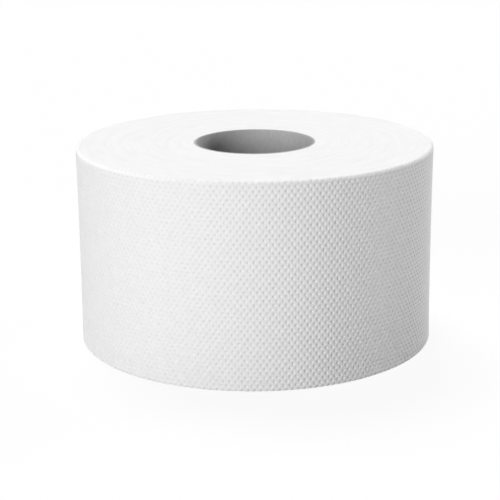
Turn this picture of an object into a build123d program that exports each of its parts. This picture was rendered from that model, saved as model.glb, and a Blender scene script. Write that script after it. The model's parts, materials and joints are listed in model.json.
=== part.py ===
from build123d import *
import math
import os

# A mini jumbo roll of toilet paper: the wound web of paper and the board core it is wound on.
# Millimetres. The roll stands on its end: the axis is +Z through the middle of the core,
# the origin is on the axis in the lower end face, and -Y is the side the photograph shows.

# Driving dimensions of the roll
roll_diameter = 180.0
roll_width = 100.0
# Bevel of the outer edge, where the saw cut and handling soften the turns
edge_bevel = 0.8

# The core, a standard size
core_bore_diameter = 59.0
core_wall = 0.9
# The first turn lies on the core, a hair off its surface
first_turn_gap = 0.05

# The tail end: the web's last edge, one sheet thick, glued down at the back of the roll
sheet_thickness = 0.4
tail_angle = 115.0

# The turns on the end faces: a spiral valley between the outer turns and the core,
# each of its turns standing for many turns of the web
turn_count = 7
valley_width = 1.2
valley_depth = 0.4
# Flat paper left outside and inside the spiral
outer_land = 2.5
inner_land = 4.0

roll_radius = roll_diameter / 2
core_inner_radius = core_bore_diameter / 2
core_outer_radius = core_inner_radius + core_wall
paper_inner_radius = core_outer_radius + first_turn_gap


def half_ring(section, axis_offset, first_angle):
    """A section in the XZ plane turned through half a circle, about an axis that stands
    at a signed distance from the roll's own, on the line from there to the tail."""
    ring = revolve(Plane.XZ * section, axis=Axis.Z, revolution_arc=180)
    angle = math.radians(tail_angle)
    offset = Pos(axis_offset * math.cos(angle), axis_offset * math.sin(angle))
    return offset * Rot(0, 0, first_angle) * ring


def half_roll(radius, axis_offset, first_angle):
    """Half of a solid roll, with both outer edges softened."""
    section = Rectangle(radius, roll_width, align=(Align.MIN, Align.MIN))
    outer_corners = section.vertices().sort_by(Axis.X)[-2:]
    return half_ring(chamfer(outer_corners, edge_bevel), axis_offset, first_angle)


def spiral_valley(height):
    """The half circles of the spiral, from the outer turns in to the core, at one height."""
    outer_start = roll_radius - sheet_thickness - edge_bevel - outer_land - valley_width / 2
    inner_end = paper_inner_radius + inner_land + valley_width / 2
    half_pitch = (outer_start - inner_end) / (2 * turn_count)
    pieces = []
    for half in range(2 * turn_count):
        radius = outer_start - half_pitch * (half + 0.5)
        side = 1 if half % 2 == 0 else -1
        corners = [
            (radius - valley_width / 2, height),
            (radius, height + valley_depth),
            (radius + valley_width / 2, height),
            (radius, height - valley_depth),
        ]
        section = make_face(Polyline(*corners, close=True))
        first_angle = tail_angle if side == 1 else tail_angle + 180.0
        pieces.append(half_ring(section, side * half_pitch / 2, first_angle))
    return pieces


def make_paper_roll():
    """All the turns as one solid. Its two halves differ by half a sheet in radius, so that
    the outer turn falls in by its own thickness all the way round, back to the tail's step."""
    outer_half = half_roll(roll_radius, 0, tail_angle)
    inner_half = half_roll(roll_radius - sheet_thickness / 2, -sheet_thickness / 2, tail_angle + 180.0)
    body = outer_half + inner_half
    body -= extrude(Circle(paper_inner_radius), amount=roll_width)
    return body - spiral_valley(0) - spiral_valley(roll_width)


def make_core_tube():
    """The board tube, cut off flush with the paper at both ends."""
    ring = Circle(core_outer_radius) - Circle(core_inner_radius)
    return extrude(ring, amount=roll_width)


os.makedirs("parts", exist_ok=True)
export_step(make_paper_roll(), "parts/paper_roll.step")
export_step(make_core_tube(), "parts/core_tube.step")
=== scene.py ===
import bpy
import json
import math
import numpy as np
from mathutils import Matrix, Vector


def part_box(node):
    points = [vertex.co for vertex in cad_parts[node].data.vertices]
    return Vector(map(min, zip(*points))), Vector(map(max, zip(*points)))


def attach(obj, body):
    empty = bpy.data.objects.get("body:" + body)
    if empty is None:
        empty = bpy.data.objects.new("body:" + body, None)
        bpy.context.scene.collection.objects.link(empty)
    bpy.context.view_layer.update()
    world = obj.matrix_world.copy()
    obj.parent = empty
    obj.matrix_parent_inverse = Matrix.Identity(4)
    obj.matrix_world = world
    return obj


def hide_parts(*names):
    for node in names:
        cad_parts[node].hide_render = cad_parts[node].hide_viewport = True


# The looks of a mini jumbo roll of toilet paper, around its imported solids: the embossed outer
# turn with its tail end, the wound turns behind it and the board core. Metres, +Z up.
# The solids carry the roll's size, so everything here is worked out from them.

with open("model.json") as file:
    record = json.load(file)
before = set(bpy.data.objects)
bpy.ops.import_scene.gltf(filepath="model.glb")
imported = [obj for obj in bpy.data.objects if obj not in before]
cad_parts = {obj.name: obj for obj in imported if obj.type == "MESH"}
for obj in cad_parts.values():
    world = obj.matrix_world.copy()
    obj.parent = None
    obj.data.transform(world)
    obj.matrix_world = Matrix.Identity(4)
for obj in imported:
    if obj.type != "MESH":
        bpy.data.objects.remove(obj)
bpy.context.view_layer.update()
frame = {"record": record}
mm = 0.001

# Sizes from the frame
paper_low, paper_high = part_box("paper_roll")
_, core_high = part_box("core_tube")
core_bore = next(mount for mount in frame["record"]["mounts"] if mount["name"] == "core_bore")
roll_radius = -paper_low.x
roll_width = paper_high.z
core_radius = core_high.x
bore_radius = core_bore["dims"]["r_mm"] * mm

# The web: one sheet thick where its tail end lies on the turn below
sheet_thickness = 0.4 * mm
tail_angle = math.radians(115.0)
first_turn_gap = 0.05 * mm

# The embossing: round dimples in staggered rows
dimples_per_turn = 190.4
dimple_rows = 48
dimple_depth = 0.34 * mm
dimple_floor = 0.05 * mm
dimple_radius = 1.1 * mm
land_crown = 0.04 * mm
# Some dimples are deeper than others, by up to this share
dimple_unevenness = 0.35
# The land's crown rises from here over this width, as shares of the dimple's radius
crown_start = 0.8
crown_width = 0.9
# Radii of the rings of points in a dimple
ring_radii = (0.37 * mm, 0.73 * mm, 1.1 * mm)

# The outer turn's form: the sheet's own rim, and the roundings of the roll's upper and lower edge
rim_radius = 0.5 * mm
rim_parts = (1 / 3, 2 / 3, 1)
shoulder_radius = 2.0 * mm
shoulder_rows = 7
foot_radius = 0.3 * mm
waist = 0.35 * mm
waist_flatness = 3
waist_unevenness = 0.06 * mm

# The tail end: how far the web goes on beneath it, and how it stands off the turn below
flap_columns = 8
lift_columns = 14
flap_lift = 0.8 * mm
lift_unevenness = 0.3
# The share of the lift that is left at the roll's two ends, and the height over which it fades
end_lift = 0.15
lift_fade = 14 * mm
flap_thickness = 0.6 * mm
flap_rows = 10
# Play, in columns, between the web's end and the paper beyond it
flap_play = 0.02
outer_pieces = 4
# Radius at which the outer turn's pieces end and the wound turns begin
wound_radius = roll_radius - 3.4 * mm

# The turns on the end faces: fine ridges, a wide spiral in them, and soft unevenness
ridge_pitch = 0.8 * mm
ridge_height = 0.03 * mm
ridge_unevenness = 0.4
end_segments = 288
band_turns = 7
band_depth = 0.05 * mm
band_width = 1.3 * mm
band_outer_land = 4.3 * mm
band_inner_land = 4.6 * mm
dish_depth = 0.1 * mm
# The ends are level at the outer turn, and deepen over this width
level_width = 2.0 * mm
# The rounding beside the core
inner_rim_width = 0.8 * mm
inner_rim_depth = 0.12 * mm

# The core
core_columns = 110
core_rows = 44
core_rim = 0.2 * mm
core_rim_points = 4
seam_top_angle = math.radians(-60.0)
seam_half_width = 0.35 * mm
seam_depth = 0.14 * mm

# Greys of the paper's face, of the turns' cut edges and of the board
face_greys = (0.885, 0.915)
end_greys = (0.865, 0.92)
board_greys = (0.40, 0.48)

# The stage
floor_half_size = 6.0
floor_gap = 0.1 * mm
floor_shown_grey = 0.95
shadow_share = 0.1
# The floor sends a little less light back near the roll, between these distances from its axis
floor_bounce_greys = (0.27, 0.34)
floor_bounce_near = 0.1
floor_bounce_far = 0.26
even_light = 0.05

# Worked out from the above
columns_around = math.floor(2 * dimples_per_turn) + flap_columns
flap_end = columns_around - 2 * dimples_per_turn + flap_play
half_column = math.pi / dimples_per_turn
column_width = half_column * roll_radius
row_height = (roll_width - 2 * rim_radius) / dimple_rows


def smooth_step(x):
    """From 0 to 1 as x goes from 0 to 1, level at both ends."""
    x = np.clip(x, 0, 1)
    return x * x * (3 - 2 * x)


class Waves:
    """A smooth uneven field over a surface, from -1 to 1: a few seeded waves in all directions."""

    def __init__(self, seed, size_a, size_b, count=7):
        random = np.random.default_rng(seed)
        turn = random.uniform(0, 2 * math.pi, count)
        self.rate_a = 2 * math.pi * np.cos(turn) / size_a
        self.rate_b = 2 * math.pi * np.sin(turn) / size_b
        self.start = random.uniform(0, 2 * math.pi, count)

    def at(self, a, b):
        total = sum(
            np.sin(rate_a * a + rate_b * b + start)
            for rate_a, rate_b, start in zip(self.rate_a, self.rate_b, self.start)
        )
        return total / len(self.start)


# The sizes are in columns and rows, then in metres, and last in turns
depth_waves = Waves(seed=3, size_a=3.7, size_b=3.1)
radius_waves = Waves(seed=4, size_a=90.0, size_b=40.0)
lift_waves = Waves(seed=5, size_a=60.0, size_b=24.0)
dish_waves = Waves(seed=6, size_a=70 * mm, size_b=70 * mm)
ridge_waves = Waves(seed=8, size_a=2.3, size_b=1.0)


def make_piece(name, node, material, points, smooth_faces, flat_faces, normals=None, pressed=None):
    """A piece of the roll that stands for a node. Where normals are given, the smooth faces
    take them at their points. Pressed is from 0 to 1 at each point, for the material."""
    mesh = bpy.data.meshes.new(name)
    mesh.from_pydata(points.tolist(), [], smooth_faces + flat_faces)
    is_smooth = np.arange(len(mesh.polygons)) < len(smooth_faces)
    mesh.polygons.foreach_set("use_smooth", is_smooth)
    mesh.update()
    if normals is not None:
        corner_points = np.empty(len(mesh.loops), np.int32)
        mesh.loops.foreach_get("vertex_index", corner_points)
        corner_counts = np.empty(len(mesh.polygons), np.int32)
        mesh.polygons.foreach_get("loop_total", corner_counts)
        face_normals = np.empty(3 * len(mesh.polygons), np.float32)
        mesh.polygons.foreach_get("normal", face_normals)
        corner_normals = np.repeat(face_normals.reshape(-1, 3), corner_counts, axis=0)
        smooth_corners = np.repeat(is_smooth, corner_counts)
        corner_normals[smooth_corners] = normals[corner_points[smooth_corners]]
        mesh.normals_split_custom_set(corner_normals.tolist())
    # Pressed is each point's depth in its dimple; the material paints shade into the dimples by it,
    # partly standing for the denser pressed paper
    if pressed is not None:
        mesh.attributes.new("pressed", "FLOAT", "POINT").data.foreach_set("value", pressed)
    mesh.materials.append(material)
    piece = bpy.data.objects.new(name, mesh)
    bpy.context.scene.collection.objects.link(piece)
    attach(piece, "root")
    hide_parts(node)
    return piece


# The outer turn. A place on it is a column and a level. Columns are half dimples along the web
# from its tail end. Levels are half rows up the web, and one level at each end rounds the rim.


def emboss(column, row):
    """Height of the embossed surface over the web's land."""
    nearest = np.full(np.shape(column), np.inf)
    for offset in (0, 1):
        across = column - offset - 2 * np.round((column - offset) / 2)
        along = row - offset - 2 * np.round((row - offset) / 2)
        distance = np.hypot(across * column_width, along * row_height)
        nearest = np.minimum(nearest, distance)
    depth = dimple_depth * (1 + dimple_unevenness * depth_waves.at(column, row))
    wall = smooth_step((nearest - dimple_floor) / (dimple_radius - dimple_floor))
    crown = smooth_step((nearest - crown_start * dimple_radius) / (crown_width * dimple_radius))
    return depth * (wall - 1) + land_crown * crown


def rounding(height, lower, upper):
    """How far roundings of the roll's two edges, with these radii, draw in at a height."""
    near_low = np.clip(1 - height / lower, 0, 1)
    near_high = np.clip(1 - (roll_width - height) / upper, 0, 1)
    return lower * (1 - np.sqrt(1 - near_low**2)) + upper * (1 - np.sqrt(1 - near_high**2))


def web_radius(column, height):
    """Radius of the web's land: a spiral, drawn in a little between the two ends."""
    turned = column * half_column / (2 * math.pi)
    middle = 1 - np.abs(2 * height / roll_width - 1) ** waist_flatness
    uneven = waist_unevenness * radius_waves.at(column, height / row_height)
    drawn_in = (waist + uneven) * middle + rounding(height, foot_radius, shoulder_radius)
    return roll_radius - sheet_thickness * turned - drawn_in


def tail_lift(column, height):
    """How far the tail end stands off the turn below, more in some places than in others."""
    near = np.clip(1 - column / lift_columns, 0, 1)
    uneven = 1 + lift_unevenness * lift_waves.at(column, height / row_height)
    held = smooth_step(np.minimum(height, roll_width - height) / lift_fade)
    return flap_lift * uneven * near**2 * (end_lift + (1 - end_lift) * held)


def outer_place(column, level):
    """Angle, radius and height of a place on the outer turn."""
    below = np.clip(-level, 0, 1) * math.pi / 2
    above = np.clip(level - dimple_rows, 0, 1) * math.pi / 2
    row = np.clip(level, 0, dimple_rows)
    height = rim_radius + row * row_height + rim_radius * (np.sin(above) - np.sin(below))
    inset = rim_radius * (2 - np.cos(above) - np.cos(below))
    radius = web_radius(column, height) + tail_lift(column, height) - inset
    radius = radius + emboss(column, (height - rim_radius) / row_height)
    return tail_angle + column * half_column, radius, height


def in_space(angle, radius, height):
    """Points from their angles, radii and heights."""
    return np.stack([radius * np.cos(angle), radius * np.sin(angle), height], axis=-1)


def outer_normals(column, level):
    """The outer turn's normals, from two places to each side of every point."""
    step = 0.01
    along = in_space(*outer_place(column + step, level)) - in_space(*outer_place(column - step, level))
    up = in_space(*outer_place(column, level + step)) - in_space(*outer_place(column, level - step))
    normals = np.cross(along, up)
    return normals / np.linalg.norm(normals, axis=1, keepdims=True)


def strip(lower, upper):
    """The faces between two rows of points, each row along the web."""
    return np.stack([lower[:-1], lower[1:], upper[1:], upper[:-1]], axis=-1)


def lattice(first, last):
    """Points, as columns and levels, and faces of the embossed web from one column to another.
    Each dimple is a centre and rings of eight points, and the land between has one point. A
    ring's points are counted round from the one farthest along the web."""
    diagonal = math.sqrt(0.5)
    quarter = [(1, 0), (diagonal, diagonal), (0, 1), (-diagonal, diagonal)]
    directions = np.array(quarter + [(-x, -y) for x, y in quarter])
    spokes = len(directions)
    rings = np.array(ring_radii)[:, None, None] * directions[None]
    offsets = np.concatenate([[(0.0, 0.0)], rings.reshape(-1, 2)])
    offsets = offsets / (column_width, row_height)
    block = len(offsets)
    columns, rows = np.meshgrid(np.arange(first, last + 1), np.arange(dimple_rows + 1), indexing="ij")
    centres = np.stack([columns, rows], axis=-1).reshape(-1, 1, 2)
    places = (centres + offsets[None]).reshape(-1, 2)

    def base(column, row):
        return ((column - first) * (dimple_rows + 1) + row) * block

    def ring(centre, index, direction):
        return centre + 1 + spokes * index + direction % spokes

    column, row = (grid[:-1, :-1].ravel() for grid in (columns, rows))
    odd = (column + row) % 2
    near = base(column + odd, row)
    far = base(column + 1 - odd, row + 1)
    land_a = base(column + 1, row + odd)
    land_b = base(column, row + 1 - odd)
    triangles = []
    quads = []
    outermost = len(ring_radii) - 1
    for centre, start in ((near, 2 * odd), (far, 2 * odd + 4)):
        for turn in (start, start + 1):
            triangles.append([centre, ring(centre, 0, turn), ring(centre, 0, turn + 1)])
            for index in range(outermost):
                inner = [ring(centre, index, turn + 1), ring(centre, index, turn)]
                outer = [ring(centre, index + 1, turn), ring(centre, index + 1, turn + 1)]
                quads.append(inner + outer)
    near_edge = [ring(near, outermost, 2 * odd + turn) for turn in (0, 1, 2)]
    far_edge = [ring(far, outermost, 2 * odd + turn) for turn in (6, 5, 4)]
    triangles.append([near_edge[0], land_a, far_edge[0]])
    triangles.append([near_edge[2], far_edge[2], land_b])
    for index in (0, 1):
        quads.append([near_edge[index], far_edge[index], far_edge[index + 1], near_edge[index + 1]])
    triangles = np.array(triangles).transpose(0, 2, 1)
    quads = np.array(quads).transpose(0, 2, 1)
    corners = np.concatenate([triangles.ravel(), quads.ravel()])
    used, renumbered = np.unique(corners, return_inverse=True)
    split = triangles.size
    faces = [renumbered[:split].reshape(-1, 3), renumbered[split:].reshape(-1, 4)]
    return places[used], faces


def flap_heights():
    """Heights, from the top down, at which the tail end's underside has points."""
    near_end = shoulder_radius * (1 - np.cos(np.linspace(0, math.pi / 2, shoulder_rows)))
    middle = np.linspace(roll_width - shoulder_radius, shoulder_radius, flap_rows)[1:-1]
    return np.concatenate([roll_width - near_end, middle, near_end[::-1]])


def outer_piece(name, first, last, back_heights, material):
    """One stretch of the outer turn as a closed sheet: its embossed face, the rounded rims, the cut
    ends, the face that lies on the turns below, and the two ends of the stretch."""
    places, (triangles, quads) = lattice(first, last)
    column, level = places.T

    def edge(value, limit, order):
        found = np.flatnonzero(value == limit)
        return found[np.argsort(order[found])]

    low, high = edge(level, 0, column), edge(level, dimple_rows, column)
    side_a, side_b = edge(column, first, level), edge(column, last, level)
    points = [in_space(*outer_place(column, level))]
    normals = [outer_normals(column, level)]
    # How far each point lies down in its dimple, by which the material paints shade into the dimples
    pressed = np.clip(-emboss(column, level) / dimple_depth, 0, 1)
    count = len(column)

    def new_row(row_points, row_normals):
        nonlocal count
        points.append(row_points)
        normals.append(row_normals)
        count += len(row_points)
        return np.arange(count - len(row_points), count)

    edge_columns = column[low]
    unshaded = np.zeros((len(low), 3))
    # Both rows of points at the flap's end stand where the last stretch ends, one behind the other
    is_flap = edge_columns < flap_end
    back_columns = edge_columns.copy()
    if is_flap.any():
        flap_step = np.flatnonzero(is_flap)[-1]
        back_columns[flap_step:flap_step + 2] = flap_end

    def rim_row(row_level):
        levels_there = np.full(len(low), float(row_level))
        place = in_space(*outer_place(edge_columns, levels_there))
        return new_row(place, outer_normals(edge_columns, levels_there))

    def back_row(height):
        lifted = tail_lift(back_columns, height) - flap_thickness
        clear = np.maximum(lifted, land_crown - sheet_thickness)
        under_flap = web_radius(back_columns, height) - rounding(height, rim_radius, rim_radius) + clear
        radius = np.where(is_flap, under_flap, wound_radius)
        angle = tail_angle + back_columns * half_column
        return new_row(in_space(angle, radius, np.full(len(low), height)), unshaded)

    low_rim = [rim_row(-part) for part in rim_parts[::-1]] + [low]
    high_rim = [high] + [rim_row(dimple_rows + part) for part in rim_parts]
    back = [back_row(height) for height in back_heights]
    rounded = [strip(a, b) for rim in (low_rim, high_rim) for a, b in zip(rim, rim[1:])]
    flat_rows = [high_rim[-1]] + back + [low_rim[0]]
    flat = [strip(a, b) for a, b in zip(flat_rows, flat_rows[1:])]
    ends = []
    for index, side in ((0, side_a), (-1, side_b)):
        rim_points = [row[index] for row in low_rim[:-1]]
        top_points = [row[index] for row in high_rim[1:]]
        back_points = [row[index] for row in back]
        loop = [int(point) for point in rim_points + list(side) + top_points + back_points]
        ends.append(loop if index == 0 else loop[::-1])
    smooth_faces = triangles.tolist() + np.concatenate([quads] + rounded).tolist()
    flat_faces = np.concatenate(flat).tolist() + ends
    pressed = np.append(pressed, np.zeros(count - len(pressed)))
    return make_piece(
        name, "paper_roll", material,
        np.concatenate(points), smooth_faces, flat_faces, np.concatenate(normals), pressed,
    )


# The wound turns: on both ends their edges make one spiral of fine ridges, with the wider spiral
# of the solid in it.


def band_valley(radius, angle):
    """The wide spiral's depth: level land outside and inside, and the valley's turns between."""
    outermost = roll_radius - band_outer_land - sheet_thickness
    innermost = core_radius + band_inner_land
    pitch = (outermost - innermost) / band_turns
    turned = (outermost - radius) / pitch - ((angle - tail_angle) / (2 * math.pi)) % 1
    off = (turned - np.round(turned)) * pitch
    inside = (np.round(turned) >= 0) & (np.round(turned) < band_turns)
    return np.where(inside, band_depth * np.exp(-((off / band_width) ** 2)), 0)


def end_depth(radius, angle, wound, in_valley):
    """How far a place on an end face lies below the end's plane."""
    inner = core_radius + first_turn_gap
    off_edge = smooth_step((wound_radius - radius) / level_width)
    off_core = np.clip((radius - inner) / inner_rim_width, 0, 1)
    uneven = 1 - ridge_unevenness + ridge_unevenness * ridge_waves.at(wound, 0)
    fine = ridge_height * uneven * in_valley * off_core
    x, y = radius * np.cos(angle), radius * np.sin(angle)
    dish = dish_depth * (0.5 + 0.5 * dish_waves.at(x, y))
    inner_rim = inner_rim_depth * (1 - off_core) ** 2
    return off_edge * (fine + dish + band_valley(radius, angle)) + inner_rim


def make_wound_turns(material):
    """Every turn behind the outer one, as a closed ring."""
    # Points this close to an edge's radius lie on it, and points alike to this many decimals are one
    touching = 1e-7
    decimals = 8
    # Lines past the ring's two edges, where the spiral of ridges runs out
    spare_lines = 5
    inner = core_radius + first_turn_gap
    line_count = math.ceil((wound_radius - inner) / (ridge_pitch / 2)) + spare_lines
    line, segment = np.meshgrid(np.arange(line_count), np.arange(end_segments), indexing="ij")
    part = segment / end_segments
    angle = tail_angle + 2 * math.pi * part
    wound = line / 2 - 1 + part
    radius = np.clip(wound_radius - ridge_pitch * wound, inner, wound_radius)
    depth = end_depth(radius, angle, wound, line % 2)
    # The last segment of a line goes on in the start of the line after the next
    here = np.arange(line.size).reshape(line.shape)
    onward = np.concatenate([here[:, 1:], np.roll(here[:, :1], -2, axis=0)], axis=1)
    quads = np.stack([here[1:-2], onward[1:-2], onward[:-3], here[:-3]], axis=-1).reshape(-1, 4)
    points = []
    faces = []
    count = 0
    edges = []
    for height, inward in ((0.0, 1), (roll_width, -1)):
        place = in_space(angle, radius, height + inward * depth).reshape(-1, 3)
        rounded = np.round(place, decimals)
        _, first, merged = np.unique(rounded, axis=0, return_index=True, return_inverse=True)
        kept = [tuple(dict.fromkeys(face)) for face in merged.ravel()[quads].tolist()]
        kept = [face for face in kept if len(face) > 2]
        used = sorted({point for face in kept for point in face})
        number = {point: index + count for index, point in enumerate(used)}
        end_points = place[first[used]]
        faces += [[number[point] for point in face[::inward]] for face in kept]
        distance = np.hypot(end_points[:, 0], end_points[:, 1])
        around = np.arctan2(end_points[:, 1], end_points[:, 0])
        for limit in (wound_radius, inner):
            found = np.flatnonzero(np.abs(distance - limit) < touching)
            found = found[np.argsort(around[found])]
            edges.append(np.append(found, found[0]) + count)
        points.append(end_points)
        count += len(end_points)
    low_outer, low_inner, high_outer, high_inner = edges
    walls = strip(low_outer, high_outer).tolist() + strip(high_inner, low_inner).tolist()
    return make_piece(
        "wound_turns", "paper_roll", material, np.concatenate(points), faces, walls
    )


def make_core(material):
    """The board tube, wound on a slant from a strip whose edges meet in one seam in the bore.
    The seam turns once round in the tube's length."""
    half_seam = seam_half_width / bore_radius
    # The seam's groove: places across it, and their depths, as shares
    seam = half_seam * np.array([-1.0, -0.4, 0.0, 0.4])
    seam_depths = seam_depth * np.array([0.0, 0.85, 1.0, 0.85])
    plain = np.linspace(half_seam, 2 * math.pi - half_seam, core_columns)[:-1]
    columns = np.concatenate([seam, plain])
    groove = np.concatenate([seam_depths, np.zeros(len(plain))])
    quarter = np.linspace(0, math.pi / 2, core_rim_points)
    rows = []

    def add_row(radius, height, with_seam):
        angle = seam_top_angle + columns + 2 * math.pi * (height / roll_width - 1)
        heights = np.full(len(columns), height)
        rows.append(in_space(angle, radius + groove * with_seam, heights))

    def add_bore_rim(turn, is_top):
        from_end = core_rim * (1 - math.sin(turn))
        height = roll_width - from_end if is_top else from_end
        add_row(bore_radius + core_rim * (1 - math.cos(turn)), height, 1 - turn / quarter[-1])

    def add_outer_rim(turn, is_top):
        from_end = core_rim * (1 - math.cos(turn))
        height = roll_width - from_end if is_top else from_end
        add_row(core_radius - core_rim * (1 - math.sin(turn)), height, 0)

    for height in np.linspace(roll_width - core_rim, core_rim, core_rows):
        add_row(bore_radius, height, 1)
    for turn in quarter[1:]:
        add_bore_rim(turn, False)
    for turn in quarter:
        add_outer_rim(turn, False)
    for turn in quarter[::-1]:
        add_outer_rim(turn, True)
    for turn in quarter[:0:-1]:
        add_bore_rim(turn, True)
    size = len(columns)
    numbers = np.arange(len(rows) * size).reshape(len(rows), size)
    numbers = np.concatenate([numbers, numbers[:, :1]], axis=1)
    faces = np.concatenate([strip(a, b) for a, b in zip(numbers, np.roll(numbers, -1, axis=0))])
    return make_piece(
        "core_board", "core_tube", material, np.concatenate(rows), faces.tolist(), []
    )


# Materials


class Nodes:
    """Short ways to add nodes to a material or world and to wire them up."""

    def __init__(self, owner):
        owner.use_nodes = True
        self.tree = owner.node_tree
        self.tree.nodes.clear()

    def add(self, kind, inputs=(), **settings):
        node = self.tree.nodes.new(kind)
        for key, value in settings.items():
            setattr(node, key, value)
        for socket, value in dict(inputs).items():
            if isinstance(value, bpy.types.NodeSocket):
                self.tree.links.new(value, node.inputs[socket])
            else:
                node.inputs[socket].default_value = value
        return node

    def math(self, operation, *values):
        return self.add("ShaderNodeMath", dict(enumerate(values)), operation=operation).outputs[0]

    def place(self):
        """The three coordinates of a place on the object."""
        whole = self.add("ShaderNodeTexCoord").outputs["Object"]
        return self.add("ShaderNodeSeparateXYZ", {0: whole}).outputs

    def around(self):
        """Distance from the axis, distance round the roll's face, and height."""
        x, y, z = self.place()
        square = self.math("ADD", self.math("MULTIPLY", x, x), self.math("MULTIPLY", y, y))
        arc = self.math("MULTIPLY", self.math("ARCTAN2", y, x), roll_radius)
        return self.math("SQRT", square), arc, z

    def noise(self, vector, scale, detail=2.0, roughness=0.5):
        inputs = {"Vector": vector, "Scale": scale, "Detail": detail, "Roughness": roughness}
        return self.add("ShaderNodeTexNoise", inputs).outputs["Fac"]

    def join(self, x, y, z):
        return self.add("ShaderNodeCombineXYZ", {0: x, 1: y, 2: z}).outputs[0]

    def shade(self, factor, greys, low=0.3, high=0.7):
        """A colour between two greys, as the factor goes from low to high."""
        ramp = self.add("ShaderNodeValToRGB", {0: factor})
        for stop, grey, position in zip(ramp.color_ramp.elements, greys, (low, high)):
            stop.position = position
            stop.color = (grey, grey, grey, 1)
        return ramp.outputs[0]

    def bump(self, height, distance, strength, normal=None):
        inputs = {"Height": height, "Distance": distance, "Strength": strength}
        if normal is not None:
            inputs["Normal"] = normal
        return self.add("ShaderNodeBump", inputs).outputs[0]

    def surface(self, colour, normal, **values):
        shader = self.add("ShaderNodeBsdfPrincipled", {"Base Color": colour, "Normal": normal})
        for name, value in values.items():
            shader.inputs[name.replace("_", " ")].default_value = value
        self.add("ShaderNodeOutputMaterial", {"Surface": shader.outputs[0]})


def tissue_face():
    """The web's face: soft white, creped in fine ridges along the roll's axis, with loose fibres, and
    with shade painted into its dimples.
    """
    material = bpy.data.materials.new("tissue_face")
    nodes = Nodes(material)
    # How much finer the crepe is round the roll than along it, and how much darker a dimple's floor is
    # painted: painted shade in the recesses, which also stands for the denser pressed paper
    crepe_fineness = 5.0
    painted_dimple_shade = 0.08
    radius, arc, height = nodes.around()
    crepe_place = nodes.join(nodes.math("MULTIPLY", arc, crepe_fineness), radius, height)
    crepe = nodes.noise(crepe_place, scale=700.0, detail=3.0, roughness=0.6)
    fibres = nodes.noise(nodes.join(arc, radius, height), scale=2600.0, detail=4.0, roughness=0.7)
    cloud = nodes.noise(nodes.join(arc, radius, height), scale=220.0, detail=4.0, roughness=0.6)
    loose = nodes.shade(cloud, face_greys)
    # Painted shade: the colour darkens with the depth in each dimple
    pressed = nodes.add("ShaderNodeAttribute", attribute_name="pressed").outputs["Fac"]
    painted_shade_share = nodes.math("MULTIPLY", pressed, painted_dimple_shade)
    inputs = {"Fac": painted_shade_share, "Color1": loose, "Color2": (0, 0, 0, 1)}
    colour = nodes.add("ShaderNodeMixRGB", inputs).outputs[0]
    rough = nodes.bump(fibres, distance=0.06 * mm, strength=0.5)
    creped = nodes.bump(crepe, distance=0.1 * mm, strength=0.55, normal=rough)
    nodes.surface(colour, creped, Roughness=0.95, Specular_IOR_Level=0.2)
    return material


def tissue_ends():
    """The turns' cut edges: a hair apart, in fine uneven rings."""
    material = bpy.data.materials.new("tissue_ends")
    nodes = Nodes(material)
    # How fine the turns are across them and along them, and the wider bands along them
    turn_across = 22.0
    turn_along = 0.4
    band_along = 0.12
    # The turns' share in the shade, beside the bands'
    turn_share = 0.4
    radius, arc, height = nodes.around()
    across = nodes.math("MULTIPLY", radius, turn_across)
    turn_place = nodes.join(across, nodes.math("MULTIPLY", arc, turn_along), height)
    turns = nodes.noise(turn_place, scale=300.0, detail=3.0, roughness=0.6)
    whole = nodes.add("ShaderNodeTexCoord").outputs["Object"]
    fluff = nodes.noise(whole, scale=1500.0, detail=4.0, roughness=0.7)
    x, y, _ = nodes.place()
    band_x, band_y = (nodes.math("MULTIPLY", part, band_along) for part in (x, y))
    bands = nodes.noise(nodes.join(radius, band_x, band_y), scale=420.0, detail=4.0, roughness=0.65)
    turn_part = nodes.math("MULTIPLY", turns, turn_share)
    band_part = nodes.math("MULTIPLY", bands, 1 - turn_share)
    colour = nodes.shade(nodes.math("ADD", turn_part, band_part), end_greys, low=0.35, high=0.6)
    rough = nodes.bump(fluff, distance=0.06 * mm, strength=0.5)
    ringed = nodes.bump(turns, distance=0.08 * mm, strength=0.5, normal=rough)
    nodes.surface(colour, ringed, Roughness=0.95, Specular_IOR_Level=0.2)
    return material


def core_board():
    """Grey board made of old paper, mottled and with short fibres."""
    material = bpy.data.materials.new("core_board")
    nodes = Nodes(material)
    # The grain runs round the tube: its fineness round it and along it
    grain_round = 0.4
    grain_along = 1.6
    radius, arc, height = nodes.around()
    mottle = nodes.noise(nodes.join(arc, radius, height), scale=420.0, detail=5.0, roughness=0.65)
    grain_arc = nodes.math("MULTIPLY", arc, grain_round)
    grain_place = nodes.join(grain_arc, radius, nodes.math("MULTIPLY", height, grain_along))
    grain = nodes.noise(grain_place, scale=900.0, detail=4.0, roughness=0.7)
    colour = nodes.shade(mottle, board_greys)
    rough = nodes.bump(grain, distance=0.08 * mm, strength=0.4)
    nodes.surface(colour, rough, Roughness=0.85, Specular_IOR_Level=0.25)
    return material


# The stage


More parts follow.
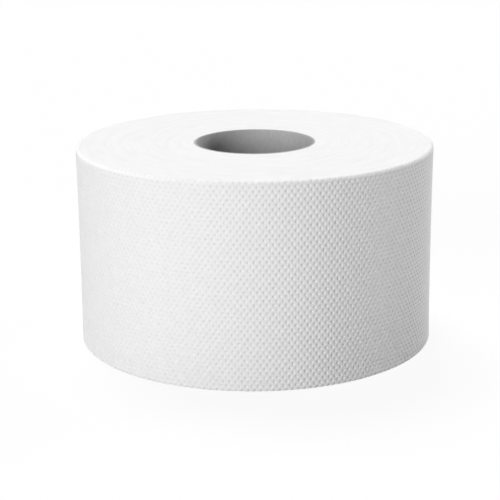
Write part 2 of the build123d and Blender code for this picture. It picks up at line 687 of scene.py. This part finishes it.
def make_floor():
    """A floor that shows as plain white, with a faint shadow of the roll."""
    mesh = bpy.data.meshes.new("floor")
    sides = [(-1, -1), (1, -1), (1, 1), (-1, 1)]
    corners = [(floor_half_size * x, floor_half_size * y, -floor_gap) for x, y in sides]
    mesh.from_pydata(corners, [], [(0, 1, 2, 3)])
    floor = bpy.data.objects.new("floor", mesh)
    bpy.context.scene.collection.objects.link(floor)
    material = bpy.data.materials.new("floor_white")
    nodes = Nodes(material)
    white = nodes.add("ShaderNodeEmission", {"Strength": 1.0})
    shown_grey = (floor_shown_grey, floor_shown_grey, floor_shown_grey, 1)
    seen = nodes.add("ShaderNodeBsdfDiffuse", {"Color": shown_grey})
    radius, _, _ = nodes.around()
    bounce = nodes.shade(radius, floor_bounce_greys, low=floor_bounce_near, high=floor_bounce_far)
    unseen = nodes.add("ShaderNodeBsdfDiffuse", {"Color": bounce})
    mixed = {0: shadow_share, 1: white.outputs[0], 2: seen.outputs[0]}
    shown = nodes.add("ShaderNodeMixShader", mixed)
    camera_ray = nodes.add("ShaderNodeLightPath").outputs["Is Camera Ray"]
    both = nodes.add("ShaderNodeMixShader", {0: camera_ray, 1: unseen.outputs[0], 2: shown.outputs[0]})
    nodes.add("ShaderNodeOutputMaterial", {"Surface": both.outputs[0]})
    mesh.materials.append(material)


def light_world():
    """White behind everything, and a little even light on the roll."""
    world = bpy.data.worlds.new("studio")
    bpy.context.scene.world = world
    nodes = Nodes(world)
    rays = nodes.add("ShaderNodeLightPath").outputs
    mirrored = nodes.math("MAXIMUM", rays["Is Glossy Ray"], rays["Is Transmission Ray"])
    shown = nodes.math("MAXIMUM", rays["Is Camera Ray"], mirrored)
    lighting, backdrop = (
        nodes.add("ShaderNodeBackground", {"Color": (1, 1, 1, 1), "Strength": strength}).outputs[0]
        for strength in (even_light, 1.0)
    )
    both = nodes.add("ShaderNodeMixShader", {0: shown, 1: lighting, 2: backdrop})
    nodes.add("ShaderNodeOutputWorld", {"Surface": both.outputs[0]})


def add_sun(name, azimuth, elevation, level, width):
    """A soft lamp far off. Azimuth is seen from above, from -Y towards -X. A white surface that
    faces the lamp gains level in brightness."""
    lamp = bpy.data.lights.new(name, "SUN")
    lamp.energy = level * math.pi
    lamp.angle = math.radians(width)
    sun = bpy.data.objects.new(name, lamp)
    bpy.context.scene.collection.objects.link(sun)
    turn, rise = math.radians(azimuth), math.radians(elevation)
    flat = math.cos(rise)
    towards = Vector((-math.sin(turn) * flat, -math.cos(turn) * flat, math.sin(rise)))
    sun.rotation_euler = towards.to_track_quat("Z", "Y").to_euler()


def place_camera():
    """The photograph's view, found from the outlines of the roll's top, base, sides and hole."""
    position = Vector((28.4 * mm, -726.1 * mm, 250.9 * mm))
    pitch, yaw, roll = 0.27892, -0.04299, -0.00891
    lens = bpy.data.cameras.new("photo_camera")
    lens.lens = 105.62
    lens.sensor_width = 36.0
    camera = bpy.data.objects.new("photo_camera", lens)
    bpy.context.scene.collection.objects.link(camera)
    flat = math.cos(pitch)
    forward = Vector((flat * math.sin(yaw), flat * math.cos(yaw), -math.sin(pitch)))
    side = Vector((math.cos(yaw), -math.sin(yaw), 0))
    axes = Matrix((side, side.cross(forward), -forward)).transposed()
    camera.matrix_world = Matrix.Translation(position) @ axes.to_4x4() @ Matrix.Rotation(roll, 4, "Z")
    bpy.context.scene.camera = camera


bpy.context.scene.view_settings.view_transform = "Standard"
face = tissue_face()
ends = tissue_ends()
# The outer turn's stretches: the first starts with the tail end, and the last ends under it
cuts = np.linspace(0, columns_around, outer_pieces + 1).round().astype(int)
for number, (first, last) in enumerate(zip(cuts, cuts[1:]), 1):
    back_heights = flap_heights() if number == 1 else (roll_width, 0.0)
    outer_piece(f"outer_turn_{number}", int(first), int(last), back_heights, face)
make_wound_turns(ends)
make_core(core_board())
make_floor()
light_world()
add_sun("left_sun", azimuth=29.5, elevation=12, level=0.837, width=28)
add_sun("right_sun", azimuth=-121, elevation=11, level=0.74, width=26)
add_sun("back_sun", azimuth=155, elevation=60, level=0.753, width=30)
place_camera()
